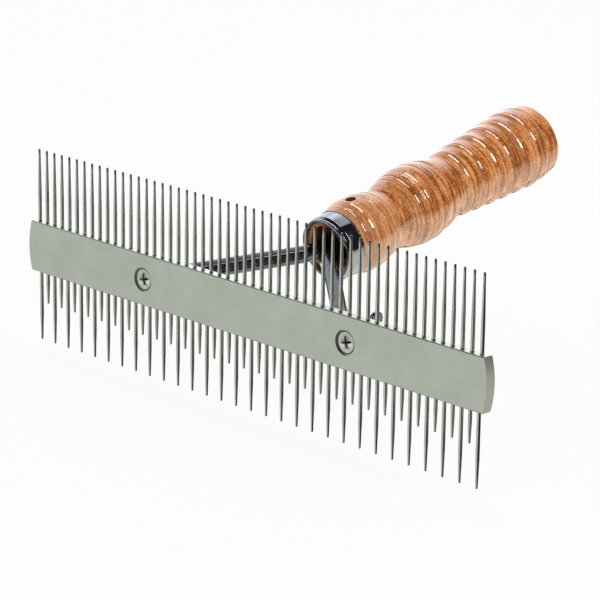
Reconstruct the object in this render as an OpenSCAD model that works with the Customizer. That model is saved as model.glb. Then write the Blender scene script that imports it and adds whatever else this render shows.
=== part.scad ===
// Two-sided livestock fluffing comb: a bar of pressed-in pins on a forked, turned wooden handle.
// X runs along the bar, Y from the bar towards the handle, Z up. Origin: centre of the bar's
// front face. Millimetres.

/* [Comb bar] */
// Length of the bar
bar_length = 228.6; // [190:0.1:260]
// Height of the bar
bar_height = 19.05; // [18:0.05:24]
// Thickness of the bar
bar_thickness = 4.0; // [3.6:0.1:6]
// Radius of the bulging bar ends
bar_end_radius = 31; // [25:1:60]
// Chamfer along the bar's long edges
bar_chamfer = 0.3; // [0.1:0.05:0.5]

/* [Teeth] */
// Number of upper teeth
upper_count = 53; // [21:1:57]
// Distance from one upper tooth to the next
upper_pitch = 4.24; // [3.6:0.01:4.24]
// How far an upper tooth stands out of the bar
upper_reach = 27.4; // [15:0.1:35]
// Number of long lower teeth; one short tooth stands in each gap between them
lower_long_count = 30; // [11:1:32]
// Distance from a lower tooth to the next, long or short
lower_pitch = 3.784; // [3.2:0.001:3.784]
// How far a long lower tooth stands out of the bar
lower_long_reach = 26.7; // [18:0.1:35]
// How far a short lower tooth stands out of the bar
lower_short_reach = 12.1; // [6:0.1:16]
// Diameter of a tooth at the bar
tooth_root_d = 1.4; // [1:0.05:1.6]
// Diameter of a tooth at its rounded tip
tooth_tip_d = 0.84; // [0.6:0.02:1]
// Depth to which a tooth is pressed into the bar
tooth_seat = 4.5; // [3:0.1:5]

/* [Fasteners] */
// Distance between the two screws
screw_spacing = 101.6; // [80:0.1:120]
// Shank diameter of the screws
screw_d = 4.17; // [3.8:0.01:4.3]
// Length of the screws over the head
screw_length = 14.3; // [14:0.1:17]
// Diameter of the countersunk heads
screw_head_d = 8.0; // [7.4:0.1:8.4]
// Diameter of the countersinks at the bar's face
countersink_d = 9.0; // [8.6:0.1:9.4]
// Outside diameter of the lock washers
washer_d = 7.4; // [7:0.1:7.8]
// Thickness of the lock washers
washer_thickness = 1.1; // [0.8:0.1:1.3]
// Radius from the screw to the tip of a wing nut's wing
wing_radius = 8.3; // [7.5:0.1:8.6]
// Quarter turn at which the left wing nut stopped
left_nut_angle = 84; // [60:1:120]
// Angle at which the right wing nut stopped
right_nut_angle = 4; // [-10:1:10]

/* [Fork] */
// Diameter of the fork's two rods
rod_d = 6.35; // [6:0.05:6.5]
// Thickness of the flattened rod ends
eye_thickness = 3.2; // [2.8:0.1:3.6]
// Radius of the flattened rod ends
eye_radius = 5.6; // [5:0.1:6]
// How far the rods slope sideways for each unit towards the handle
fork_spread = 1.26; // [1.2:0.01:1.3]
// Distance sideways from the handle's axis to each rod's tang
tang_offset = 4.2; // [3.8:0.05:4.4]
// Distance of the tangs below the handle's axis
tang_drop = 0.7; // [0:0.1:1]
// Radius of the bend at the bar
bar_bend_radius = 6; // [5:0.5:8]
// Radius of the bend at the handle
mouth_bend_radius = 9; // [8:0.5:9.5]

/* [Handle] */
// Upward tilt of the handle
handle_tilt = 12.2; // [10:0.1:14]
// Height of the handle's axis at the bar's front face
axis_height = 4.8; // [4:0.1:6]
// Distance along the axis to the ferrule's mouth
mouth_station = 42.2; // [42:0.1:43]
// Distance along the axis to the wood's shoulder
shoulder_station = 50; // [49:0.1:51]
// Distance along the axis to the butt of the handle
butt_station = 154.2; // [153:0.1:156]
// Rounding of the butt's edge
butt_radius = 2.6; // [1:0.1:3]
// Height of the turned rings round the grip
grip_ring_height = 0.5; // [0.2:0.05:0.6]
// Distance from one ring round the grip to the next
grip_ring_pitch = 6.92; // [6.5:0.01:7.2]
// Radius of the recess in the wood's front end, where both tangs go in
recess_radius = 8.6; // [8.2:0.1:9]
// Depth of that recess
recess_depth = 6; // [3:0.5:8]
// Outside radius of the ferrule's mouth
mouth_radius = 11.7; // [11.4:0.1:12]
// Outside radius of the ferrule at the shoulder
ferrule_radius = 12.4; // [12.2:0.1:12.5]
// Wall thickness of the ferrule
ferrule_wall = 0.9; // [0.7:0.1:1]
// Diameter of the retaining pin
pin_d = 3.6; // [3:0.1:4]
// Distance along the axis to the retaining pin
pin_station = 57.6; // [56:0.1:59]

/* [Hidden] */
$fn = 48;

eps = 0.02;
bar_top = bar_height / 2;
// Shares of the teeth's reach that are straight, before the taper.
upper_straight = 0.42;
long_straight = 0.62;
short_straight = 0.35;
screw_x = screw_spacing / 2;
screw_clearance = 0.35;
screw_hole_d = screw_d + screw_clearance;
head_cone_angle = 82;
head_depth = (screw_head_d - screw_d) / 2 / tan(head_cone_angle / 2);
head_sink = (countersink_d - screw_head_d) / 2 / tan(head_cone_angle / 2);
cross_length = 4.4;
cross_width = 0.95;
cross_depth = 1.5;

// The stack behind the bar: flattened rod end, lock washer, wing nut.
washer_y = bar_thickness + eye_thickness;
nut_y = washer_y + washer_thickness;
nut_foot_radius = 4.0;
nut_top_radius = 3.0;
nut_boss_height = 4.9;
nut_bore_d = screw_d + 0.04;
ear_radius = 2.6;
ear_thickness = 2.2;
ear_rise = 6.3;
washer_split = 0.9;

// The handle's axis, as a point and a direction; stations are measured along it.
axis_point = [0, 0, axis_height];
axis_dir = [0, cos(handle_tilt), sin(handle_tilt)];
mouth_bend_length = mouth_bend_radius * tan(24.65);
corner_station = mouth_station + 1.3 - mouth_bend_length;
spigot_station = mouth_station + 1.8;
tang_end_station = 86;
tang_hole_clearance = 0.02;
rod_r = rod_d / 2;

// Point where the line of the right-hand tang starts, and corner points of that rod's centreline.
tang_line = axis_point + [tang_offset, tang_drop * sin(handle_tilt), -tang_drop * cos(handle_tilt)];
mouth_corner = tang_line + corner_station * axis_dir;
rod_rest_y = bar_thickness + rod_r;
fork_x = screw_x - mouth_corner[0];
fork_z = mouth_corner[2];
fork_run = sqrt(fork_x * fork_x + fork_z * fork_z);
outward = [fork_x / fork_run, 0, -fork_z / fork_run];
bar_corner = mouth_corner
    + fork_spread * (mouth_corner[1] - rod_rest_y) * outward
    + [0, rod_rest_y - mouth_corner[1], 0];
fork_roll = atan2(fork_z, fork_x);
eye_centre = [screw_x, bar_thickness, 0];
rod_end_from_eye = 7.4;
bend_swell = 0.03;
bend_lap = 0.3;

// Profile of the plain wood: [station, radius], joined by smooth curves.
wood_profile = [
    [shoulder_station, 12.15], [52, 12.8], [54.5, 13.55], [56, 13.75], [58, 13.85], [60, 13.8],
    [62.5, 13.45], [67, 12.5], [71.3, 11.3], [75, 12.45], [78, 13.35], [80, 13.9], [82, 14.35],
    [84, 14.62], [86, 14.75], [88, 14.72], [91.5, 14.2], [95, 13.55], [98.5, 12.85],
    [101.5, 12.0], [103.3, 11.55], [104.9, 11.6], [108, 12.05], [117, 12.85], [131, 13.85],
    [140, 14.4], [146, 14.55], [butt_station, 13.95]
];
// Turned rings: [station of the crest, height, half width of the land on the crest].
rings = concat(
    [[52.1, 0.12, 0.35], [55.2, 0.15, 0.6], [60.9, 0.14, 0], [62.2, 0.14, 0], [66.5, 0.16, 0]],
    [[76.6, 0.12, 0], [79.2, 0.2, 0.45], [83.3, 0.22, 0.7], [89.4, 0.25, 0], [95.4, 0.25, 0]],
    [for (i = [0:5]) [106.7 + i * grip_ring_pitch, grip_ring_height, 0.45]],
    [[147.4, 0.2, 0]]
);
// Slopes of a ring's front flank and of its land, and the length of its fall behind the land.
flank_slope = 0.4;
land_slope = 0.14;
fall_length = 4.4;
profile_step = 0.4;

function unit(v) = v / norm(v);

// Radius of the wood without its rings, by cubic pieces through the profile.
function slope(i) =
    (i == 0 || i == len(wood_profile) - 1) ? 0
    : (wood_profile[i + 1][1] - wood_profile[i - 1][1]) / (wood_profile[i + 1][0] - wood_profile[i - 1][0]);
function piece_of(s, i = 0) =
    (i >= len(wood_profile) - 2 || s < wood_profile[i + 1][0]) ? i : piece_of(s, i + 1);
function hermite(a, b, ma, mb, t, w) =
    (2 * t * t * t - 3 * t * t + 1) * a + (t * t * t - 2 * t * t + t) * w * ma
    + (3 * t * t - 2 * t * t * t) * b + (t * t * t - t * t) * w * mb;
function plain_radius(s) =
    let (i = piece_of(s), p = wood_profile[i], q = wood_profile[i + 1], w = q[0] - p[0])
    hermite(p[1], q[1], slope(i), slope(i + 1), (s - p[0]) / w, w);
// Radius of one ring at a station: a steep flank, a narrow land and a long fall behind it.
function ring_radius(s, crest, height, land) =
    let (top = plain_radius(crest) + height, back = crest + land)
    let (rise = top + land_slope * land - plain_radius(back))
    s < crest - land ? top - land_slope * land + flank_slope * (s - crest + land)
    : s < back ? top + land_slope * (s - crest)
    : s < back + fall_length ? plain_radius(s) + rise * (1 - (s - back) / fall_length)
    : 0;
function wood_radius(s) =
    max(plain_radius(s), max([for (r = rings) ring_radius(s, r[0], r[1], r[2])]));

// Puts children, drawn along +Z from the axis point, on the handle's axis; their -Y faces up.
module on_handle_axis() {
    translate(axis_point) rotate([handle_tilt - 90, 0, 0]) children();
}

// A straight round rod from p to q.
module rod(p, q) {
    d = q - p;
    translate(p) rotate([0, acos(d[2] / norm(d)), atan2(d[1], d[0])])
        cylinder(h = norm(d), r = rod_r);
}

// A bend of the rod at corner p, where direction a turns into direction b. It is a hair thicker
// than the straight lengths, which reach a little way into it.
module rod_bend(p, a, b, bend_radius) {
    angle = acos(a * b);
    inner = unit(b - (a * b) * a);
    start = p - a * bend_radius * tan(angle / 2);
    side = -inner;
    turn_axis = cross(side, a);
    translate(start + inner * bend_radius)
        rotate([atan2(a[2], turn_axis[2]), -asin(side[2]), atan2(side[1], side[0])])
            rotate_extrude(angle = angle)
                translate([bend_radius, 0]) circle(r = rod_r + bend_swell);
}

// One tooth standing on the XY plane, with its seat below it. It is straight for a share of its
// reach and tapers from there.
module tooth(reach, straight_share) {
    straight = reach * straight_share;
    taper = reach - straight - tooth_tip_d / 2;
    translate([0, 0, -tooth_seat]) cylinder(h = tooth_seat + straight, d = tooth_root_d);
    translate([0, 0, straight]) cylinder(h = taper, d1 = tooth_root_d, d2 = tooth_tip_d);
    translate([0, 0, reach - tooth_tip_d / 2]) sphere(d = tooth_tip_d);
}

// Places children at count points along X, spaced by pitch and centred.
module along_bar(count, pitch) {
    for (i = [0:count - 1])
        translate([(i - (count - 1) / 2) * pitch, bar_thickness / 2, 0]) children();
}

module bar_blank() {
    c = bar_chamfer;
    t = bar_thickness;
    arc_centre = bar_length / 2 - bar_end_radius;
    intersection() {
        translate([-bar_length / 2, 0, 0]) rotate([90, 0, 90])
            linear_extrude(bar_length)
                polygon([
                    [c, -bar_top], [t - c, -bar_top], [t, c - bar_top], [t, bar_top - c],
                    [t - c, bar_top], [c, bar_top], [0, bar_top - c], [0, c - bar_top]
                ]);
        union() {
            translate([-arc_centre, -1, -bar_height])
                cube([2 * arc_centre, t + 2, 2 * bar_height]);
            for (side = [-1, 1])
                intersection() {
                    translate([side * arc_centre, -1, 0]) rotate([-90, 0, 0])
                        cylinder(h = t + 2, r = bar_end_radius, $fn = 180);
                    translate([side * (arc_centre + bar_end_radius / 2), t / 2, 0])
                        cube([bar_end_radius, t + 4, 2 * bar_height], center = true);
                }
        }
    }
}

module comb_bar() {
    color([0.66, 0.68, 0.64]) difference() {
        bar_blank();
        along_bar(upper_count, upper_pitch)
            translate([0, 0, bar_top - tooth_seat]) cylinder(h = tooth_seat + 1, d = tooth_root_d);
        along_bar(2 * lower_long_count - 1, lower_pitch)
            translate([0, 0, -bar_top - 1]) cylinder(h = tooth_seat + 1, d = tooth_root_d);
        for (side = [-1, 1])
            translate([side * screw_x, 0, 0]) rotate([-90, 0, 0]) {
                translate([0, 0, -1]) cylinder(h = bar_thickness + 2, d = screw_hole_d);
                cylinder(
                    h = (countersink_d - screw_hole_d) / 2 / tan(head_cone_angle / 2),
                    d1 = countersink_d, d2 = screw_hole_d
                );
            }
    }
}

module upper_teeth() {
    color([0.72, 0.73, 0.7]) along_bar(upper_count, upper_pitch)
        translate([0, 0, bar_top]) tooth(upper_reach, upper_straight);
}

module lower_long_teeth() {
    color([0.72, 0.73, 0.7]) along_bar(lower_long_count, 2 * lower_pitch)
        translate([0, 0, -bar_top]) rotate([180, 0, 0]) tooth(lower_long_reach, long_straight);
}

module lower_short_teeth() {
    color([0.72, 0.73, 0.7]) along_bar(lower_long_count - 1, 2 * lower_pitch)
        translate([0, 0, -bar_top]) rotate([180, 0, 0]) tooth(lower_short_reach, short_straight);
}

// Countersunk cross-recess screw, seated in the bar and pointing towards the handle.
module screw() {
    color([0.75, 0.76, 0.74]) translate([0, head_sink, 0]) rotate([-90, 0, 0])
        difference() {
            union() {
                cylinder(h = head_depth, d1 = screw_head_d, d2 = screw_d);
                translate([0, 0, head_depth - eps])
                    cylinder(h = screw_length - head_sink - head_depth + eps, d = screw_d);
            }
            for (turn = [20, 110])
                rotate([0, 0, turn]) translate([-cross_length / 2, -cross_width / 2, -1])
                    cube([cross_length, cross_width, cross_depth + 1]);
        }
}

module left_screw() {
    translate([-screw_x, 0, 0]) screw();
}

module right_screw() {
    translate([screw_x, 0, 0]) screw();
}

// Split ring with a slanted gap.
module lock_washer() {
    color([0.6, 0.61, 0.62]) rotate([-90, 0, 0]) difference() {
        cylinder(h = washer_thickness, d = washer_d);
        translate([0, 0, -1]) cylinder(h = washer_thickness + 2, d = screw_hole_d);
        translate([0, -washer_split / 2, washer_thickness / 2]) rotate([30, 0, 0])
            translate([0, 0, -washer_d / 2]) cube([washer_d, washer_split, washer_d]);
    }
}

module left_lock_washer() {
    translate([-screw_x, washer_y, 0]) lock_washer();
}

module right_lock_washer() {
    translate([screw_x, washer_y, 0]) lock_washer();
}

// Wing nut with its wings along Z before it is turned.
module wing_nut(turn) {
    ear_centre = wing_radius - ear_radius;
    color([0.8, 0.8, 0.82]) rotate([0, turn, 0]) rotate([-90, 0, 0]) difference() {
        union() {
            cylinder(h = nut_boss_height, r1 = nut_foot_radius, r2 = nut_top_radius);
            for (side = [0, 180])
                rotate([0, 0, side + 90]) rotate([90, 0, 0])
                    translate([0, 0, -ear_thickness / 2]) linear_extrude(ear_thickness)
                        union() {
                            translate([ear_centre, ear_rise]) circle(r = ear_radius);
                            polygon([
                                [2, 1.2], [nut_foot_radius, 1.2],
                                [ear_centre + ear_radius * cos(35), ear_rise - ear_radius * sin(35)],
                                [ear_centre - ear_radius * cos(35), ear_rise + ear_radius * sin(35)],
                                [2, nut_boss_height]
                            ]);
                        }
        }
        translate([0, 0, -1]) cylinder(h = nut_boss_height + 8, d = nut_bore_d);
    }
}

module left_wing_nut() {
    translate([-screw_x, nut_y, 0]) wing_nut(left_nut_angle);
}

module right_wing_nut() {
    translate([screw_x, nut_y, 0]) wing_nut(right_nut_angle);
}

module retaining_pin_shape() {
    on_handle_axis() translate([0, 0, pin_station]) rotate([90, 0, 0])
        translate([0, 0, -9]) cylinder(h = 21, d = pin_d);
}

// The right-hand rod, from its flattened eye to the end of its tang.
module arm() {
    leg_dir = unit(mouth_corner - bar_corner);
    bar_bend = acos(-outward * leg_dir);
    mouth_bend = acos(leg_dir * axis_dir);
    bar_setback = bar_bend_radius * tan(bar_bend / 2) - bend_lap;
    mouth_setback = mouth_bend_radius * tan(mouth_bend / 2) - bend_lap;
    leg_start = bar_corner + leg_dir * bar_setback;
    leg_end = mouth_corner - leg_dir * mouth_setback;
    tang_start = mouth_corner + axis_dir * mouth_setback;
    tang_end = tang_line + tang_end_station * axis_dir;
    rod_end = [eye_centre[0], rod_rest_y, 0] - rod_end_from_eye * outward;
    straight_end = bar_corner + outward * bar_setback;
    color([0.82, 0.83, 0.86]) difference() {
        union() {
            translate(rod_end) sphere(r = rod_r);
            rod(rod_end, straight_end);
            rod_bend(bar_corner, -outward, leg_dir, bar_bend_radius);
            rod(leg_start, leg_end);
            rod_bend(mouth_corner, leg_dir, axis_dir, mouth_bend_radius);
            rod(tang_start, tang_end);
            translate(eye_centre) rotate([0, fork_roll, 0]) rotate([-90, 0, 0]) eye_plate();
        }
        translate(eye_centre) rotate([-90, 0, 0]) translate([0, 0, -1])
            cylinder(h = eye_thickness + 2, d = screw_hole_d);
        retaining_pin_shape();
    }
}

// Flattened rod end: a round eye with a strap that narrows to the rod's width.
module eye_plate() {
    strap_length = rod_end_from_eye + 1.5;
    lean = asin((eye_radius - rod_r) / strap_length);
    cylinder(h = eye_thickness, r = eye_radius);
    linear_extrude(eye_thickness) polygon([
        [-eye_radius * sin(lean), -eye_radius * cos(lean)], [-strap_length, -rod_r],
        [-strap_length, rod_r], [-eye_radius * sin(lean), eye_radius * cos(lean)]
    ]);
}

module right_arm() {
    arm();
}

module left_arm() {
    mirror([1, 0, 0]) arm();
}

// Drawn steel cup pressed over the wood's spigot, with a rolled mouth.
module ferrule() {
    length = shoulder_station - mouth_station;
    roll = ferrule_wall / 2;
    color([0.8, 0.81, 0.85]) on_handle_axis() translate([0, 0, mouth_station])
        rotate_extrude($fn = 96) union() {
            polygon([
                [mouth_radius - ferrule_wall, roll], [mouth_radius, roll],
                [ferrule_radius, length], [ferrule_radius - ferrule_wall, length]
            ]);
            translate([mouth_radius - roll, roll]) circle(r = roll);
        }
}

module handle() {
    bore_r = rod_r + tang_hole_clearance;
    length = shoulder_station - mouth_station;
    grow = (ferrule_radius - mouth_radius) / (length - ferrule_wall / 2);
    mouth_inner = mouth_radius - ferrule_wall;
    spigot_front = mouth_inner + grow * (spigot_station - mouth_station - ferrule_wall / 2);
    spigot_back = ferrule_radius - ferrule_wall;
    flank_end = butt_station - butt_radius;
    steps = floor((flank_end - shoulder_station) / profile_step);
    rim = wood_radius(flank_end) - butt_radius;
    color([0.82, 0.58, 0.4]) difference() {
        on_handle_axis() rotate_extrude($fn = 96) polygon(concat(
            [[0, spigot_station], [spigot_front - 0.5, spigot_station]],
            [[spigot_front, spigot_station + 0.5], [spigot_back, shoulder_station]],
            [for (i = [0:steps])
                let (s = shoulder_station + i * (flank_end - shoulder_station) / steps)
                [wood_radius(s), s]],
            [for (a = [15:15:90]) [rim + butt_radius * cos(a), flank_end + butt_radius * sin(a)]],
            [[0, butt_station]]
        ));
        for (side = [-1, 1])
            on_handle_axis() translate([side * tang_offset, tang_drop, spigot_station - 1])
                cylinder(h = tang_end_station - spigot_station + 1, r = bore_r);
        on_handle_axis() translate([0, 0, spigot_station - 1])
            cylinder(h = recess_depth + 1, r = recess_radius);
        retaining_pin_shape();
        on_handle_axis() translate([0, 0, pin_station]) rotate([90, 0, 0])
            translate([0, 0, 11]) cylinder(h = 8, d = pin_d);
    }
}

module retaining_pin() {
    color([0.35, 0.33, 0.32]) retaining_pin_shape();
}

comb_bar();
upper_teeth();
lower_long_teeth();
lower_short_teeth();
left_screw();
right_screw();
left_lock_washer();
right_lock_washer();
left_wing_nut();
right_wing_nut();
left_arm();
right_arm();
ferrule();
handle();
retaining_pin();
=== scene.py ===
"""Livestock fluffing comb: the finished look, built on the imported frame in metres."""

import math

import bmesh
import bpy
from mathutils import Euler, Matrix, Vector


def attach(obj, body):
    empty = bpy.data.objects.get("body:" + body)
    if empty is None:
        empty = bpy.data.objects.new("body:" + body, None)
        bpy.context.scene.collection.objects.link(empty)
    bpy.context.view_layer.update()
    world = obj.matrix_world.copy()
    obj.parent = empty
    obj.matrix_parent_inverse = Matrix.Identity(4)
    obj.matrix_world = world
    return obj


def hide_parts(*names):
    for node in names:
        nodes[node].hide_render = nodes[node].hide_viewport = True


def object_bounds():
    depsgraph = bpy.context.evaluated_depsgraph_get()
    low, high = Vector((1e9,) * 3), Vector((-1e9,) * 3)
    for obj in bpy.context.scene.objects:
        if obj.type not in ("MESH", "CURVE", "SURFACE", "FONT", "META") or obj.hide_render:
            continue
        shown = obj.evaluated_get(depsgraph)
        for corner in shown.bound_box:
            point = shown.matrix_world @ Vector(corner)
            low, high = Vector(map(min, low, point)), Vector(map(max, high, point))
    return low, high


MM = 0.001
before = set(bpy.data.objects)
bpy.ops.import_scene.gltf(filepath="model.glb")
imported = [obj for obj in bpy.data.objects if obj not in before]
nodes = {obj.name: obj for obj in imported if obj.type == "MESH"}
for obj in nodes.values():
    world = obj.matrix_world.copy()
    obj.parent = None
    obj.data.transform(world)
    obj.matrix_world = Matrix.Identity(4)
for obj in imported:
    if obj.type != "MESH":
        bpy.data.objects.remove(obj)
cad_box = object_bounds()
BODY = "root"

# ---------------------------------------------------------------------------
# Driving dimensions, in millimetres, the same as in the design
# ---------------------------------------------------------------------------
BAR_THICKNESS = 4.0
UPPER_TIP = 36.9

SCREW_X = 50.8
SCREW_HEAD_SINK = 0.575
SCREW_HEAD_D = 8.0
SCREW_D = 4.17
SCREW_LENGTH = 14.3
THREAD_PITCH = 0.79
WASHER_THICKNESS = 1.1

EYE_THICKNESS = 3.2
EYE_RADIUS = 5.6
ROD_R = 3.175
FORK_SPREAD = 1.26
TANG_OFFSET = 4.2
TANG_DROP = 0.7
TANG_END = 86.0
BAR_BEND_RADIUS = 6.0
MOUTH_BEND_RADIUS = 9.0
WASHER_Y = BAR_THICKNESS + EYE_THICKNESS
NUT_Y = WASHER_Y + WASHER_THICKNESS

# The handle's axis, then stations along it and radii round it
HANDLE_TILT = math.radians(12.2)
AXIS_POINT = Vector((0, 0, 4.8))
AXIS_DIR = Vector((0, math.cos(HANDLE_TILT), math.sin(HANDLE_TILT)))
AXIS_UP = Vector((0, -math.sin(HANDLE_TILT), math.cos(HANDLE_TILT)))
ACROSS = Vector((1, 0, 0))
MOUTH = 42.2
SPIGOT = 44.0
SHOULDER = 50.0
BUTT = 154.2
MOUTH_R = 11.7
FERRULE_R = 12.4
FERRULE_WALL = 0.9
PIN_STATION = 57.6
PIN_R = 1.8
RECESS_R = 8.6
RECESS_DEPTH = 6.0

# The wood without its rings: station and radius
WOOD_PROFILE = [
    (SHOULDER, 12.15), (52, 12.8), (54.5, 13.55), (56, 13.75), (58, 13.85), (60, 13.8),
    (62.5, 13.45), (67, 12.5), (71.1, 11.31), (71.5, 11.37), (75, 12.45), (78, 13.35),
    (80, 13.9), (82.3, 14.42), (82.9, 14.47), (84, 14.6), (86, 14.75), (88, 14.72),
    (91.5, 14.2), (95, 13.55), (98.5, 12.85), (101.5, 12.0), (103.3, 11.55), (104.9, 11.6),
    (108, 12.05), (117, 12.85), (131, 13.85), (140, 14.4), (146, 14.55), (BUTT, 13.95),
]

# Turned rings: station of the crest, height, half width of the land on the crest and strength
# of the scored line behind it
FRONT_RINGS = [
    (52.1, 0.12, 0.22, 0.3), (55.2, 0.15, 0.34, 0.0), (60.9, 0.14, 0.0, 0.5),
    (62.2, 0.14, 0.0, 0.5), (66.5, 0.16, 0.0, 0.4),
]
MIDDLE_RINGS = [
    (76.6, 0.12, 0.0, 0.6), (79.2, 0.08, 0.22, 1.0), (83.3, 0.1, 0.26, 0.3),
    (89.4, 0.25, 0.0, 0.7), (95.4, 0.25, 0.0, 0.5),
]
FIRST_GRIP_RING = 106.7
GRIP_RING_PITCH = 6.92
GRIP_RINGS = [(FIRST_GRIP_RING + i * GRIP_RING_PITCH, 0.5, 0.32, 1.0) for i in range(6)]
BUTT_RING = (147.4, 0.2, 0.0, 0.0)
RINGS = FRONT_RINGS + MIDDLE_RINGS + GRIP_RINGS + [BUTT_RING]


# ---------------------------------------------------------------------------
# Mesh helpers
# ---------------------------------------------------------------------------
AROUND_BORE = 48
LEAST_R = 0.001  # keeps a ring of points on an axis from falling together


def new_object(name, verts, faces, smooth_angle=40):
    """A mesh object from points in millimetres, with edges sharper than the angle kept sharp."""
    mesh = bpy.data.meshes.new(name)
    mesh.from_pydata([Vector(v) * MM for v in verts], [], faces)
    mesh.validate()
    clean = bmesh.new()
    clean.from_mesh(mesh)
    bmesh.ops.recalc_face_normals(clean, faces=clean.faces)
    clean.to_mesh(mesh)
    clean.free()
    mesh.shade_smooth()
    mesh.set_sharp_from_angle(angle=math.radians(smooth_angle))
    obj = bpy.data.objects.new(name, mesh)
    bpy.context.scene.collection.objects.link(obj)
    return obj


def grid_faces(rings, around, close_rings=False):
    """Quads that join rings of points, each of them a closed loop."""
    faces = []
    last = rings if close_rings else rings - 1
    for i in range(last):
        a, b = i * around, ((i + 1) % rings) * around
        for j in range(around):
            k = (j + 1) % around
            faces.append((a + j, a + k, b + k, b + j))
    return faces


def ring_solid(name, rings, smooth_angle=40):
    """A closed solid through rings of points, with a fan over each end."""
    around = len(rings[0])
    verts = [p for ring in rings for p in ring]
    faces = grid_faces(len(rings), around)
    for start, ring in ((0, rings[0]), ((len(rings) - 1) * around, rings[-1])):
        hub = len(verts)
        verts.append(sum((Vector(p) for p in ring), Vector()) / around)
        faces += [(start + j, start + (j + 1) % around, hub) for j in range(around)]
    return new_object(name, verts, faces, smooth_angle)


def on_axis(station, radius, turn):
    """A point round the handle's axis; turn 0 is up and a quarter turn is +X."""
    out = AXIS_UP * math.cos(turn) + ACROSS * math.sin(turn)
    return AXIS_POINT + AXIS_DIR * station + out * radius


def full_circle(around):
    """Evenly spaced angles, once round."""
    return [2 * math.pi * j / around for j in range(around)]


def turned(profile, around):
    """Rings of points for a profile of (station, radius), turned round the handle's axis."""
    return [
        [on_axis(station, max(radius, LEAST_R), turn) for turn in full_circle(around)]
        for station, radius in profile
    ]


def cone(name, start, end, start_r, end_r):
    """A closed cone between two points, used to cut holes."""
    along = (Vector(end) - Vector(start)).normalized()
    side = along.orthogonal().normalized()
    other_side = along.cross(side)
    rings = [
        [
            Vector(centre) + radius * (side * math.cos(turn) + other_side * math.sin(turn))
            for turn in full_circle(AROUND_BORE)
        ]
        for centre, radius in ((start, start_r), (end, end_r))
    ]
    return ring_solid(name, rings)


def cylinder(name, start, end, radius):
    """A closed cylinder between two points, used to cut holes."""
    return cone(name, start, end, radius, radius)


def apply_modifiers(obj):
    """Replaces obj's mesh with the result of its modifiers."""
    graph = bpy.context.evaluated_depsgraph_get()
    graph.update()
    result = bpy.data.meshes.new_from_object(obj.evaluated_get(graph))
    obj.modifiers.clear()
    old = obj.data
    obj.data = result
    bpy.data.meshes.remove(old)


def combine(obj, other, operation):
    """Joins the other object to obj or cuts it out of it, and uses it up."""
    modifier = obj.modifiers.new("combine", "BOOLEAN")
    modifier.operation = operation
    modifier.solver = "EXACT"
    modifier.material_mode = "TRANSFER"
    modifier.object = other
    apply_modifiers(obj)
    bpy.data.objects.remove(other)


def cut(obj, cutters, inside=None):
    """Cuts the cutters out of obj; the cut faces can have a material of their own."""
    for cutter in cutters:
        if inside:
            cutter.data.materials.append(inside)
        combine(obj, cutter, "DIFFERENCE")


def place(obj, slot, *replaced):
    """Attaches a piece to the body that it rides on and hides the nodes that it stands for; the
    slot is not used.
    """
    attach(obj, BODY)
    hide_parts(*replaced)
    return obj


def finish_piece(obj, material, slot, *replaced):
    """Gives a piece its material, then places it."""
    obj.data.materials.clear()
    obj.data.materials.append(material)
    return place(obj, slot, *replaced)


def side_word(side):
    """The name of a side: 1 is right and -1 is left."""
    return "right" if side > 0 else "left"


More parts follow.
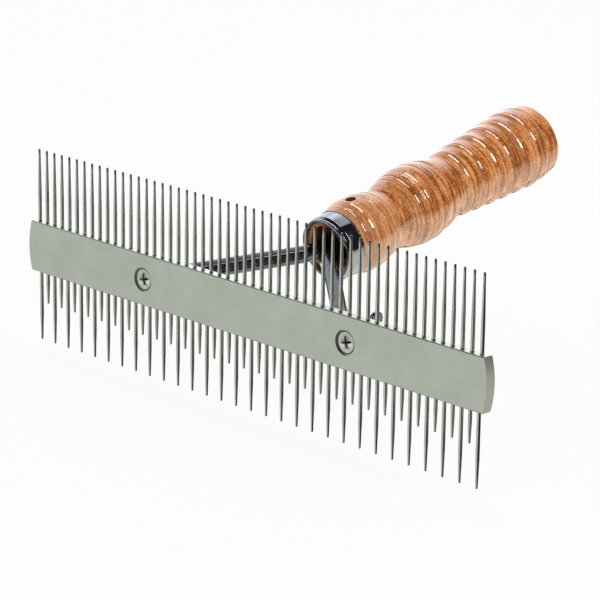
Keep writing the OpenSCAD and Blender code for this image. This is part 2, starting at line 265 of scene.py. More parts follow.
# ---------------------------------------------------------------------------
# Material helpers
# ---------------------------------------------------------------------------
class Shader:
    """A Principled material and short ways to add nodes to it."""

    def __init__(self, name):
        self.material = bpy.data.materials.new(name)
        self.material.use_nodes = True
        self.tree = self.material.node_tree
        self.main = next(n for n in self.tree.nodes if n.type == "BSDF_PRINCIPLED")
        self.coord = self.node("ShaderNodeTexCoord").outputs["Object"]

    def node(self, kind, **inputs):
        """A new node; underscores in the names of its inputs stand for spaces."""
        made = self.tree.nodes.new(kind)
        for key, value in inputs.items():
            self.feed(made.inputs[key.replace("_", " ")], value)
        return made

    def feed(self, socket, value):
        """Links a socket to another, or sets its value."""
        if isinstance(value, bpy.types.NodeSocket):
            self.tree.links.new(value, socket)
        else:
            socket.default_value = value

    def set(self, **values):
        for key, value in values.items():
            self.feed(self.main.inputs[key.replace("_", " ")], value)

    def stretched(self, vector, scale=(1, 1, 1), rotation=(0, 0, 0)):
        made = self.node("ShaderNodeMapping", Vector=vector)
        made.inputs["Scale"].default_value = scale
        made.inputs["Rotation"].default_value = rotation
        return made.outputs["Vector"]

    def attribute(self, name):
        made = self.node("ShaderNodeAttribute")
        made.attribute_name = name
        return made.outputs["Fac"]

    def noise(self, vector, scale, detail=3.0, roughness=0.55):
        made = self.node("ShaderNodeTexNoise", Vector=vector)
        made.inputs["Scale"].default_value = scale
        made.inputs["Detail"].default_value = detail
        made.inputs["Roughness"].default_value = roughness
        return made.outputs["Fac"]

    def ramp(self, value, *stops):
        """Colours from (position, colour) stops."""
        made = self.node("ShaderNodeValToRGB", Fac=value)
        marks = made.color_ramp.elements
        while len(marks) < len(stops):
            marks.new(0.5)
        for mark, (position, colour) in zip(marks, stops):
            mark.position = position
            mark.color = (*colour, 1)
        return made.outputs["Color"]

    def span(self, value, low, high, to_low, to_high, shape="LINEAR"):
        """Brings a range of values to another range."""
        made = self.node("ShaderNodeMapRange", Value=value)
        made.interpolation_type = shape
        made.inputs["From Min"].default_value = low
        made.inputs["From Max"].default_value = high
        made.inputs["To Min"].default_value = to_low
        made.inputs["To Max"].default_value = to_high
        return made.outputs["Result"]

    def math(self, operation, a, b):
        made = self.node("ShaderNodeMath")
        made.operation = operation
        self.feed(made.inputs[0], a)
        self.feed(made.inputs[1], b)
        return made.outputs["Value"]

    def weighted(self, *terms):
        """The sum of (value, weight) terms."""
        total, *others = [self.math("MULTIPLY", value, weight) for value, weight in terms]
        for other in others:
            total = self.math("ADD", total, other)
        return total

    def mix(self, factor, a, b):
        """A colour between two others."""
        made = self.tree.nodes.new("ShaderNodeMix")
        made.data_type = "RGBA"
        sockets = [s for s in made.inputs if s.enabled]
        for socket, value in zip(sockets, (factor, a, b)):
            if isinstance(value, tuple):
                value = (*value, 1)
            self.feed(socket, value)
        return next(s for s in made.outputs if s.enabled)

    def painted_shade(self, colour, reach, shade_colour):
        """Paints shade into a colour: it darkens the colour in corners and round roots, within a
        reach.
        """
        made = self.node("ShaderNodeAmbientOcclusion")
        made.inputs["Distance"].default_value = reach
        return self.mix(self.span(made.outputs["AO"], 0.45, 0.85, 1.0, 0.0), colour, shade_colour)

    def bump(self, height, strength, distance):
        made = self.node("ShaderNodeBump", Height=height)
        made.inputs["Strength"].default_value = strength
        made.inputs["Distance"].default_value = distance
        return made.outputs["Normal"]

    def surface(self, shader):
        """Makes another shader than the Principled one the material's surface."""
        out = next(n for n in self.tree.nodes if n.type == "OUTPUT_MATERIAL")
        self.feed(out.inputs["Surface"], shader)


def satin_aluminium():
    """Tumbled aluminium: soft mottling, fine grain and a faint draw along the bar."""
    s = Shader("satin_aluminium")
    mottle = s.noise(s.coord, 90, 5, 0.6)
    grain = s.noise(s.coord, 2600, 2)
    drawn = s.noise(s.stretched(s.coord, (6, 300, 900)), 4, 2)
    tone = s.weighted((mottle, 0.75), (drawn, 0.25))
    colour = s.ramp(tone, (0.32, (0.62, 0.665, 0.58)), (0.68, (0.75, 0.775, 0.70)))
    rough = s.math("ADD", s.span(mottle, 0.3, 0.7, 0.30, 0.42), s.math("MULTIPLY", grain, 0.05))
    # Painted shade: the colour darkens in corners, in the countersinks and round the tooth roots
    s.set(Base_Color=s.painted_shade(colour, 0.0005, (0.05, 0.05, 0.04)), Roughness=rough, Metallic=1.0)
    s.set(Normal=s.bump(s.math("ADD", grain, s.math("MULTIPLY", mottle, 0.6)), 0.2, 0.00005))
    return s.material


# How far below the upper tips their darkening starts and is full, in millimetres
DARK_START = 2.2
DARK_FULL = 0.7


def tooth_steel():
    """Drawn steel wire with fine lines along each tooth; the upper tips are darker, and painted
    shade darkens the roots.
    """
    s = Shader("tooth_steel")
    lines = s.noise(s.stretched(s.coord, (1, 1, 0.03)), 9000, 2)
    tint = s.noise(s.coord, 220, 3)
    colour = s.ramp(tint, (0.3, (0.66, 0.68, 0.60)), (0.7, (0.80, 0.81, 0.74)))
    height = s.node("ShaderNodeSeparateXYZ", Vector=s.coord).outputs["Z"]
    start, full = (UPPER_TIP - DARK_START) * MM, (UPPER_TIP - DARK_FULL) * MM
    colour = s.mix(s.span(height, start, full, 0.0, 0.75), colour, (0.08, 0.08, 0.07))
    # Painted shade: the colour darkens round the roots, where the teeth meet the bar
    s.set(Base_Color=s.painted_shade(colour, 0.0012, (0.05, 0.05, 0.04)))
    s.set(Metallic=1.0, Roughness=s.span(tint, 0.3, 0.7, 0.03, 0.07))
    s.set(Normal=s.bump(lines, 0.1, 0.00001))
    return s.material


def chrome(name, tint, rough_low, rough_high, shade_reach=0.0, haze_scale=110, dimmest=0.9):
    """Plated steel with a thin haze and faint polishing swirls.

    Its darkest spots keep the share dimmest of the tint.
    """
    s = Shader(name)
    haze = s.noise(s.coord, haze_scale, 5)
    swirl = s.noise(s.coord, 4200, 2)
    dim = tuple(c * dimmest for c in tint)
    colour = s.ramp(haze, (0.3, dim), (0.65, tint))
    # Painted shade: with a reach given, the colour darkens in corners within it
    if shade_reach:
        colour = s.painted_shade(colour, shade_reach, (0.02, 0.02, 0.018))
    s.set(Base_Color=colour, Metallic=1.0, Roughness=s.span(haze, 0.35, 0.7, rough_low, rough_high))
    s.set(Normal=s.bump(swirl, 0.03, 0.00001))
    return s.material


def dull_steel():
    """Darkened pin steel."""
    s = Shader("dull_steel")
    blotch = s.noise(s.coord, 900, 4)
    colour = s.ramp(blotch, (0.35, (0.06, 0.03, 0.02)), (0.7, (0.20, 0.13, 0.10)))
    s.set(Base_Color=colour, Metallic=0.8, Roughness=s.span(blotch, 0.3, 0.7, 0.3, 0.55))
    return s.material


def shaded_bored_wood():
    """Bare end grain inside the bored holes; its dark colour is partly stain in the end grain and
    partly painted shade.
    """
    s = Shader("shaded_bored_wood")
    streak = s.noise(s.coord, 1400, 3)
    colour = s.ramp(streak, (0.35, (0.10, 0.032, 0.012)), (0.7, (0.26, 0.085, 0.032)))
    s.set(Base_Color=colour, Roughness=s.span(streak, 0.3, 0.7, 0.6, 0.8))
    return s.material


def lacquered_wood():
    """Orange-stained turned hardwood under a clear gloss coat."""
    s = Shader("lacquered_wood")
    along = s.stretched(s.coord, rotation=(math.pi / 2 - HANDLE_TILT, 0, 0))
    fibre = s.noise(s.stretched(along, (1, 1, 0.35)), 1700, 4, 0.7)
    pores = s.noise(s.stretched(along, (1, 1, 0.6)), 2400, 2, 0.5)
    broad = s.noise(s.stretched(along, (0.7, 0.7, 1)), 170, 3, 0.6)
    turning = s.noise(s.stretched(along, (0.07, 0.07, 1)), 950, 3, 0.65)
    speckle = s.noise(along, 3000, 2, 0.6)
    tone = s.weighted((broad, 0.15), (fibre, 0.26), (turning, 0.41), (speckle, 0.18))
    colour = s.ramp(
        tone,
        (0.44, (0.26, 0.064, 0.012)),
        (0.50, (0.59, 0.190, 0.046)),
        (0.56, (0.94, 0.420, 0.148)),
    )
    colour = s.mix(s.span(pores, 0.58, 0.70, 0.0, 0.5), colour, (0.24, 0.058, 0.012))
    # Painted highlight: a lighter colour on the band before each ring, and the front of the wood
    # paler
    colour = s.mix(s.math("MULTIPLY", s.attribute("pale"), 0.45), colour, (0.81, 0.42, 0.22))
    colour = s.mix(s.math("MULTIPLY", s.attribute("groove"), 0.9), colour, (0.13, 0.035, 0.010))
    s.set(Base_Color=colour, Roughness=s.span(fibre, 0.3, 0.7, 0.38, 0.5))
    s.set(Coat_Weight=1.0, Coat_Roughness=0.04, Coat_IOR=1.9, Specular_IOR_Level=0.0)
    s.set(Normal=s.bump(s.math("ADD", fibre, turning), 0.15, 0.00004))
    ridges = s.noise(s.stretched(along, (0.04, 0.04, 1)), 1900, 2, 0.5)
    s.set(Coat_Normal=s.bump(ridges, 1.0, 0.000028))
    return s.material


ALUMINIUM = satin_aluminium()
TOOTH_STEEL = tooth_steel()
FORK_CHROME = chrome("fork_chrome", (0.12, 0.122, 0.148), 0.08, 0.22, 0.0, 900, 0.4)
FERRULE_CHROME = chrome("ferrule_chrome", (0.29, 0.30, 0.335), 0.07, 0.13)
NICKEL = chrome("nickel_plate", (0.30, 0.31, 0.36), 0.06, 0.14)
# The screws' and washers' plating gets painted shade in its corners and round the screw heads' rims
ZINC = chrome("zinc_plate", (0.78, 0.80, 0.73), 0.34, 0.46, 0.0006)
PIN_STEEL = dull_steel()
# Painted shade: a dark steel for the faces of the screws' cross recesses
SHADED_RECESS_STEEL = chrome("shaded_recess_steel", (0.20, 0.20, 0.18), 0.25, 0.4)
SHADED_BORED_WOOD = shaded_bored_wood()
WOOD = lacquered_wood()


# ---------------------------------------------------------------------------
# Handle: turned wood
# ---------------------------------------------------------------------------
# A ring's slopes on its flank and on the land of its crest, and the length of its fall
FLANK_SLOPE = 0.4
FRONT_LAND_SLOPE = 0.135
LAND_SLOPE_GROWTH = 0.00078
FALL_LENGTH = 4.4
# The finished surface lies this far below the design, so that it stays inside it
FINISH_CUT = 0.03
# Beside each ring's crest, a scored line behind it and a band of painted highlight before it
SCORE_OFFSET = 1.0
SCORE_DEPTH = 0.2
SCORE_HALF_WIDTH = 0.3
PAINTED_SHEEN_OFFSET = -1.3
PAINTED_SHEEN_HALF_WIDTH = 0.9
# The front of the wood is paler too
PALE_FRONT_SHARE = 0.6
PALE_FRONT_END = 72.0
PALE_FRONT_FADE = 4.0
# The spigot inside the ferrule, and the rounded butt
SHOULDER_R = 12.2
SPIGOT_FIT = 0.15
SPIGOT_CHAMFER = 0.6
BUTT_RADIUS = 2.6
BUTT_ARC_STEPS = 9
BUTT_FACE_STEPS = 12
# Spacing of the stations, and the change of slope that calls for the fine one
FINE_STEP = 0.06
LONGEST_STEP = 0.6
TURN_LIMIT = 0.02
AROUND_WOOD = 160
# Bored holes
PIN_HOLE_DEPTH = 9
PIN_HOLE_TOP = 20
PIN_FLARE = 0.5
BORE_CLEARANCE = 0.02
BORE_START = SPIGOT - 1


def profile_slope(i):
    """Slope of the plain profile at one of its points."""
    if i in (0, len(WOOD_PROFILE) - 1):
        return 0.0
    (s0, r0), (s1, r1) = WOOD_PROFILE[i - 1], WOOD_PROFILE[i + 1]
    return (r1 - r0) / (s1 - s0)


def plain_radius(station):
    """Radius of the wood without its rings, by cubic pieces through the profile."""
    i = max(k for k in range(len(WOOD_PROFILE) - 1) if k == 0 or WOOD_PROFILE[k][0] <= station)
    (s0, r0), (s1, r1) = WOOD_PROFILE[i], WOOD_PROFILE[i + 1]
    w = s1 - s0
    t = (station - s0) / w
    return (
        (2 * t**3 - 3 * t**2 + 1) * r0
        + (t**3 - 2 * t**2 + t) * w * profile_slope(i)
        + (3 * t**2 - 2 * t**3) * r1
        + (t**3 - t**2) * w * profile_slope(i + 1)
    )


def ring_radius(station, crest, height, land):
    """Radius of one ring: a steep flank, a narrow land and a long fall behind it."""
    top, back = plain_radius(crest) + height, crest + land
    slope = FRONT_LAND_SLOPE + LAND_SLOPE_GROWTH * (crest - SHOULDER)
    if station < crest - land:
        return top - slope * land + FLANK_SLOPE * (station - crest + land)
    if station < back:
        return top + slope * (station - crest)
    if station < back + FALL_LENGTH:
        rise = top + slope * land - plain_radius(back)
        return plain_radius(station) + rise * (1 - (station - back) / FALL_LENGTH)
    return 0.0


def line_share(station, crest, offset, half_width):
    """1 in the middle of a line at an offset from a ring's crest, 0 away from it."""
    return max(0.0, 1 - abs(station - crest - offset) / half_width)


def score_share(station):
    """Strength of the scored line behind the nearest ring."""
    return max(
        strength * line_share(station, crest, SCORE_OFFSET, SCORE_HALF_WIDTH)
        for crest, _, _, strength in RINGS
    )


def painted_sheen_and_pale_share(station):
    """The band of painted highlight before each ring, and the paler front of the wood."""
    bands = max(line_share(station, ring[0], PAINTED_SHEEN_OFFSET, PAINTED_SHEEN_HALF_WIDTH) for ring in RINGS)
    front = min(1.0, max(0.0, (PALE_FRONT_END - station) / PALE_FRONT_FADE))
    return max(bands, PALE_FRONT_SHARE * front)


def wood_radius(station):
    """Radius of the finished wood, with its rings and scored lines."""
    ringed = max(
        ring_radius(station, crest, height, land) for crest, height, land, _ in RINGS
    )
    return max(plain_radius(station), ringed) - SCORE_DEPTH * score_share(station) - FINISH_CUT


def wood_stations(start, end):
    """Stations close together where the profile turns and far apart where it runs straight."""
    count = round((end - start) / FINE_STEP)
    fine = [start + i * (end - start) / count for i in range(count + 1)]
    radii = [wood_radius(station) for station in fine]
    slopes = [(b - a) / FINE_STEP for a, b in zip(radii, radii[1:])]
    turns = [abs(b - a) > TURN_LIMIT for a, b in zip(slopes, slopes[1:])]
    stations = []
    for i in range(1, count):
        near_turn = any(turns[max(0, i - 3):i + 2])
        if near_turn or not stations or fine[i] - stations[-1] > LONGEST_STEP:
            stations.append(fine[i])
    return stations + [end]


def handle_profile():
    """The whole outline: spigot, shoulder, turned body, rounded rim and flat butt."""
    front, third = MOUTH_R - FERRULE_WALL + SPIGOT_FIT, SPIGOT_CHAMFER / 3
    points = [(SPIGOT, 0.0), (SPIGOT, front - SPIGOT_CHAMFER), (SPIGOT + third, front - third)]
    points += [(SPIGOT + SPIGOT_CHAMFER, front), (SHOULDER, FERRULE_R - FERRULE_WALL)]
    points.append((SHOULDER, SHOULDER_R))
    flank_end = BUTT - BUTT_RADIUS
    points += [(station, wood_radius(station)) for station in wood_stations(SHOULDER, flank_end)]
    rim = wood_radius(flank_end) - BUTT_RADIUS
    for i in range(1, BUTT_ARC_STEPS + 1):
        a = math.pi / 2 * i / BUTT_ARC_STEPS
        points.append((flank_end + BUTT_RADIUS * math.sin(a), rim + BUTT_RADIUS * math.cos(a)))
    for i in range(1, BUTT_FACE_STEPS):
        points.append((BUTT, rim * (1 - i / BUTT_FACE_STEPS)))
    return points


def paint(handle, name, profile, share):
    """Writes a share that depends on the station as a point attribute of the turned wood."""
    attribute = handle.data.attributes.new(name, "FLOAT", "POINT")
    for i, (station, _) in enumerate(profile):
        value = share(station) if SHOULDER < station < BUTT - BUTT_RADIUS else 0.0
        for j in range(AROUND_WOOD):
            attribute.data[i * AROUND_WOOD + j].value = value


def handle_cutters():
    """The pin's hole with its flared rim, the recess in the front and the two tang bores."""
    pin_seat = AXIS_POINT + AXIS_DIR * PIN_STATION
    rim = wood_radius(PIN_STATION)
    flare_start = pin_seat + AXIS_UP * (rim - 0.4)
    flare_end = pin_seat + AXIS_UP * (rim + 0.6)
    mouth = AXIS_POINT + AXIS_DIR * BORE_START
    recess_end = mouth + AXIS_DIR * (SPIGOT + RECESS_DEPTH - BORE_START)
    pin_low, pin_high = pin_seat - AXIS_UP * PIN_HOLE_DEPTH, pin_seat + AXIS_UP * PIN_HOLE_TOP
    cutters = [
        cylinder("pin_hole", pin_low, pin_high, PIN_R),
        cone("pin_rim", flare_start, flare_end, PIN_R, PIN_R + PIN_FLARE),
        cylinder("recess", mouth, recess_end, RECESS_R),
    ]
    for side in (-1, 1):
        start = mouth + ACROSS * side * TANG_OFFSET - AXIS_UP * TANG_DROP
        end = start + AXIS_DIR * (TANG_END - BORE_START)
        cutters.append(cylinder("tang_hole", start, end, ROD_R + BORE_CLEARANCE))
    return cutters


def build_handle():
    profile = handle_profile()
    handle = ring_solid("turned_handle", turned(profile, AROUND_WOOD), 35)
    paint(handle, "groove", profile, score_share)
    paint(handle, "pale", profile, painted_sheen_and_pale_share)
    handle.data.materials.append(WOOD)
    # The bored faces take the dark end grain with its painted shade
    cut(handle, handle_cutters(), SHADED_BORED_WOOD)
    return place(handle, "wood", "handle")


# ---------------------------------------------------------------------------
# Ferrule
# ---------------------------------------------------------------------------
LIP_R = 0.72
LIP_INSET = 0.1
LIP_GAP = 0.15
LIP_GROOVE = 0.22
NECK_R = 12.05
NECK_FLARE = 0.04
# How the neck comes up out of the groove: distance from its start and depth below its radius
NECK_RISE = ((0.5, 0.05), (0.9, 0.0))
BEAD_R = 0.32
AROUND_FERRULE = 128


def arc(centre_station, centre_radius, radius, start, end, count):
    """Profile points on a circle; angles in degrees, 0 is outward and 90 is towards the mouth."""
    points = []
    for i in range(count + 1):
        a = math.radians(start + (end - start) * i / count)
        points.append((centre_station - radius * math.sin(a), centre_radius + radius * math.cos(a)))
    return points


def ferrule_profile():
    """A drawn cup: rolled lip at the mouth, a neck behind it and a fine bead at the wood."""
    lip_end = MOUTH + 2 * LIP_R
    wall = [(SHOULDER, FERRULE_R - FERRULE_WALL), (lip_end, MOUTH_R - FERRULE_WALL - LIP_INSET)]
    lip = arc(MOUTH + LIP_R, MOUTH_R - LIP_R, LIP_R, 215, -50, 26)
    neck_start, neck_end = lip_end + LIP_GAP, SHOULDER - 2 * BEAD_R
    neck = [(neck_start, MOUTH_R - LIP_GROOVE)]
    neck += [(neck_start + along, NECK_R - depth) for along, depth in NECK_RISE]
    neck.append((neck_end, NECK_R + NECK_FLARE))
    bead = arc(SHOULDER - BEAD_R, FERRULE_R - BEAD_R, BEAD_R, 80, -90, 12)
    return wall + lip + neck + bead


def build_ferrule():
    rings = turned(ferrule_profile(), AROUND_FERRULE)
    verts = [p for ring in rings for p in ring]
    faces = grid_faces(len(rings), AROUND_FERRULE, close_rings=True)
    ferrule = new_object("ferrule_cup", verts, faces, 50)
    return finish_piece(ferrule, FERRULE_CHROME, "ferrule", "ferrule")


# ---------------------------------------------------------------------------
# Fork arms
# ---------------------------------------------------------------------------
BEND_INSIDE_MOUTH = 1.3
HALF_MOUTH_BEND = math.radians(24.65)
TANG_CHAMFER = 0.5
# The eye: length of its tapering strap, where it is fully flat (from its centre) and its steps
STRAP_LENGTH = 8.9
FLAT_PLACE = -4.5
STRAP_STEPS = 16
EYE_STEPS = 20
EYE_END = 0.9995
BOLT_CLEARANCE = 0.17
BOLT_CUTTER_LENGTH = 12
AROUND_ROD = 48


def arc_points(corner, before, after, radius, count):
    """Centreline points and directions of a bend at a corner."""
    angle = before.angle(after)
    inner = (after - before * before.dot(after)).normalized()
    start = corner - before * radius * math.tan(angle / 2)
    centre = start + inner * radius
    points = []
    for i in range(count + 1):
        a = angle * i / count
        point = centre + radius * (-inner * math.cos(a) + before * math.sin(a))
        points.append((point, (before * math.cos(a) + inner * math.sin(a)).normalized()))
    return points


def smoothstep(t):
    t = min(max(t, 0.0), 1.0)
    return t * t * (3 - 2 * t)


def signed_power(value, power):
    return math.copysign(abs(value) ** power, value)


def oval(centre, wide, high, half_wide, half_high, power=1.0):
    """A ring of points in a plane; a power below 1 squares its corners."""
    return [
        centre
        + wide * half_wide * signed_power(math.cos(turn), power)
        + high * half_high * signed_power(math.sin(turn), power)
        for turn in full_circle(AROUND_ROD)
    ]


def arm_line():
    """Points and directions along the right arm, and the direction of its flat end."""
    tang_line = AXIS_POINT + ACROSS * TANG_OFFSET - AXIS_UP * TANG_DROP
    corner_station = MOUTH + BEND_INSIDE_MOUTH - MOUTH_BEND_RADIUS * math.tan(HALF_MOUTH_BEND)
    mouth_corner = tang_line + AXIS_DIR * corner_station
    rest_y = BAR_THICKNESS + ROD_R
    outward = Vector((SCREW_X - mouth_corner.x, 0, -mouth_corner.z)).normalized()
    bar_corner = mouth_corner + outward * FORK_SPREAD * (mouth_corner.y - rest_y)
    bar_corner.y = rest_y
    leg = (bar_corner - mouth_corner).normalized()
    tang_end = tang_line + AXIS_DIR * TANG_END
    line = [(tang_end, -AXIS_DIR), (tang_end - AXIS_DIR * TANG_CHAMFER, -AXIS_DIR)]
    line += arc_points(mouth_corner, -AXIS_DIR, leg, MOUTH_BEND_RADIUS, 16)
    line += arc_points(bar_corner, leg, outward, BAR_BEND_RADIUS, 12)
    return line, outward


def rod_rings(line, flat_normal):
    """Round rings along the rod, with a chamfer at the end of the tang."""
    rings = []
    for index, (point, direction) in enumerate(line):
        wide = (flat_normal - direction * flat_normal.dot(direction)).normalized()
        radius = ROD_R - (TANG_CHAMFER if index == 0 else 0.0)
        rings.append(oval(point, wide, direction.cross(wide), radius, radius))
    return rings


def eye_rings(rod_end, outward, flat_normal):
    """Rings from the round rod to the far side of the flat eye; u runs from the eye's centre."""
    eye = Vector((SCREW_X, BAR_THICKNESS, 0))
    lean = math.asin((EYE_RADIUS - ROD_R) / STRAP_LENGTH)
    tangent_u, tangent_half_wide = -EYE_RADIUS * math.sin(lean), EYE_RADIUS * math.cos(lean)
    start_u = (rod_end - eye).dot(outward)
    strap = tangent_u - start_u
    us = [start_u + strap * i / STRAP_STEPS for i in range(1, STRAP_STEPS + 1)]
    first = math.asin(tangent_u / EYE_RADIUS)
    turns = [first + (math.pi / 2 - first) * i / EYE_STEPS for i in range(1, EYE_STEPS)]
    us += [EYE_RADIUS * math.sin(turn) for turn in turns] + [EYE_RADIUS * EYE_END]
    rings = []
    for u in us:
        flat = smoothstep((u - start_u) / (FLAT_PLACE - start_u))
        half_thick = ROD_R + (EYE_THICKNESS / 2 - ROD_R) * flat
        if u > tangent_u:
            half_wide = math.sqrt(EYE_RADIUS**2 - u * u)
        else:
            half_wide = ROD_R + (tangent_half_wide - ROD_R) * (u - start_u) / strap
        centre = eye + outward * u + Vector((0, half_thick, 0))
        high = outward.cross(flat_normal)
        rings.append(oval(centre, flat_normal, high, half_wide, half_thick, 2 / (2 + 6 * flat)))
    return rings


def build_arm(name, side):
    """One rod: tang, bend, leg, bend and an end forged flat into an eye."""
    line, outward = arm_line()
    flat_normal = outward.cross(Vector((0, 1, 0))).normalized()
    rings = rod_rings(line, flat_normal) + eye_rings(line[-1][0], outward, flat_normal)
    rings = [[Vector((side * p.x, p.y, p.z)) for p in ring] for ring in rings]
    arm = ring_solid(name, rings, 50)
    start = Vector((side * SCREW_X, 0, 0))
    end = start + Vector((0, BOLT_CUTTER_LENGTH, 0))
    cut(arm, [cylinder("bolt_hole", start, end, SCREW_D / 2 + BOLT_CLEARANCE)])
    return finish_piece(arm, FORK_CHROME, "fork", side_word(side) + "_arm")


# ---------------------------------------------------------------------------
# Screws
# ---------------------------------------------------------------------------
AROUND_SCREW = 48
HEAD_HALF_ANGLE = math.radians(41)
# The head's rolled edge: distance below its face and inset from its full radius
HEAD_EDGE = ((0.0, 0.42), (0.08, 0.32), (0.4, 0.2))
# The cross recess: place along the screw, half length and half width of each slot
CROSS_SECTIONS = ((SCREW_HEAD_SINK - 0.3, 2.45, 0.38), (SCREW_HEAD_SINK + 2.1, 0.75, 0.28))
PLAIN_SHANK = 0.3
THREAD_DEPTH = 0.42
THREAD_RUN_OUT = 0.8
STEPS_PER_PITCH = 8
END_LENGTH = 0.7
END_TAPER = 0.5


def along_y(side, y, radius, turn):
    """A point round a screw's axis; y is measured from the bar's front face."""
    return Vector((side * SCREW_X + radius * math.sin(turn), y, radius * math.cos(turn)))


def circle(side, y, radius, around):
    """A ring of points round a screw's axis."""
    return [along_y(side, y, max(radius, LEAST_R), turn) for turn in full_circle(around)]


def cross_cutters(side, turn):
    """A tapered cross recess, as one closed wedge for each of its two slots."""
    cutters = []
    for slot_turn in (turn, turn + math.pi / 2):
        c, s = math.cos(slot_turn), math.sin(slot_turn)
        rings = []
        for y, z, x in CROSS_SECTIONS:
            corners = ((x, z), (-x, z), (-x, -z), (x, -z))
            turned_corners = [(i * c + j * s, j * c - i * s) for i, j in corners]
            rings.append([Vector((side * SCREW_X + i, y, j)) for i, j in turned_corners])
        cutters.append(ring_solid("recess", rings))
    return cutters


def thread_ring(side, y, thread_start):
    """A ring of the threaded shank, with the thread's run-out and the tapered end."""
    depth = THREAD_DEPTH * smoothstep((y - thread_start) / THREAD_RUN_OUT)
    taper = END_TAPER * smoothstep((y - SCREW_LENGTH + END_LENGTH) / END_LENGTH)
    ring = []
    for turn in full_circle(AROUND_SCREW):
        phase = (y / THREAD_PITCH + turn / (2 * math.pi)) % 1
        radius = SCREW_D / 2 - depth * abs(2 * phase - 1) - taper
        ring.append(along_y(side, y, radius, turn))
    return ring


def build_screw(name, side, turn):
    """Countersunk cross-recess screw with a real thread."""
    head_r, shank_r = SCREW_HEAD_D / 2, SCREW_D / 2
    head_end = SCREW_HEAD_SINK + (head_r - shank_r) / math.tan(HEAD_HALF_ANGLE)
    thread_start = head_end + PLAIN_SHANK
    profile = [(SCREW_HEAD_SINK, 0.0)]
    profile += [(SCREW_HEAD_SINK + below, head_r - inset) for below, inset in HEAD_EDGE]
    profile += [(head_end, shank_r), (thread_start, shank_r)]
    rings = [circle(side, y, radius, AROUND_SCREW) for y, radius in profile]
    thread_length = SCREW_LENGTH - thread_start
    steps = round(thread_length / (THREAD_PITCH / STEPS_PER_PITCH))
    for i in range(1, steps + 1):
        rings.append(thread_ring(side, thread_start + thread_length * i / steps, thread_start))
    screw = ring_solid(name, rings, 30)
    screw.data.materials.append(ZINC)
    # The recess faces take the dark steel of painted shade
    cut(screw, cross_cutters(side, turn), SHADED_RECESS_STEEL)
    return place(screw, "screws", side_word(side) + "_screw")


# ---------------------------------------------------------------------------
# Lock washers
# ---------------------------------------------------------------------------
WASHER_BORE_R = 2.3
WASHER_R = 3.7
WASHER_EDGE = 0.08
WASHER_PLAY = 0.02
WASHER_SPRING = 0.12
WASHER_STEPS = 72
HALF_SPLIT = 8  # degrees


def build_lock_washer(name, side):
    """A split spring washer, cut at one place and sprung slightly open."""
    rings = []
    for i in range(WASHER_STEPS + 1):
        turn = math.radians(HALF_SPLIT + (360 - 2 * HALF_SPLIT) * i / WASHER_STEPS)
        lift = WASHER_SPRING * i / WASHER_STEPS
        low = WASHER_Y + WASHER_PLAY + lift / 2
        high = NUT_Y - WASHER_PLAY - WASHER_SPRING + lift
        section = (
            (low, WASHER_BORE_R), (low, WASHER_R - WASHER_EDGE), (low + WASHER_EDGE, WASHER_R),
            (high - WASHER_EDGE, WASHER_R), (high, WASHER_R - WASHER_EDGE), (high, WASHER_BORE_R),
        )
        rings.append([along_y(side, y, radius, turn) for y, radius in section])
    washer = ring_solid(name, rings, 30)
    return finish_piece(washer, ZINC, "washers", side_word(side) + "_lock_washer")


# ---------------------------------------------------------------------------
# Wing nuts
# ---------------------------------------------------------------------------
LEFT_NUT_TURN = math.radians(84)
RIGHT_NUT_TURN = math.radians(4)
AROUND_NUT = 64
# The turned boss: height above the washer and radius
BOSS_PROFILE = [
    (0.0, 0.0), (0.0, 3.7), (0.15, 3.95), (0.4, 4.0),
    (4.4, 3.1), (4.75, 2.95), (4.9, 2.7), (4.9, 0.0),
]
# One ear: distance from the nut's axis and height above the washer, its round part and root
EAR_CENTRE = (5.65, 6.25)
EAR_R = 2.6
EAR_ARC = (-62, 188)
EAR_ARC_STEPS = 39
EAR_ROOT = [(2.4, 4.6), (1.5, 3.4), (1.5, 1.1), (3.6, 0.9), (4.7, 2.0)]
# Its rounding: share of the half thickness, and how far the outline is drawn in there
EAR_HALF_THICKNESS = 1.05
EAR_MIDDLE = (4.6, 4.8)
EAR_REACH = 3.2
EAR_LAYERS = ((-1, 0.45), (-0.75, 0.08), (0, 0.0), (0.75, 0.08), (1, 0.45))
NUT_VOXEL = 0.16


def ear_outline():
    """Points of one ear, as distance from the nut's axis and height above the washer."""
    start, end = EAR_ARC
    outline = []
    for i in range(EAR_ARC_STEPS + 1):
        a = math.radians(start + (end - start) * i / EAR_ARC_STEPS)
        outline.append((EAR_CENTRE[0] + EAR_R * math.cos(a), EAR_CENTRE[1] + EAR_R * math.sin(a)))
    return outline + EAR_ROOT


def build_ear(name, side, angle):
    """A flat rounded ear that stands out from the nut's axis at an angle."""
    out = Vector((math.sin(angle), 0, math.cos(angle)))
    through = Vector((math.cos(angle), 0, -math.sin(angle)))
    base = Vector((side * SCREW_X, NUT_Y, 0))
    rings = []
    for layer, inset in EAR_LAYERS:
        pull = 1 - inset / EAR_REACH
        ring = []
        for distance, height in ear_outline():
            x = EAR_MIDDLE[0] + (distance - EAR_MIDDLE[0]) * pull
            y = EAR_MIDDLE[1] + (height - EAR_MIDDLE[1]) * pull
            shift = through * (layer * EAR_HALF_THICKNESS)
            ring.append(base + out * x + Vector((0, y, 0)) + shift)
        rings.append(ring)
    return ring_solid(name + "_ear", rings)


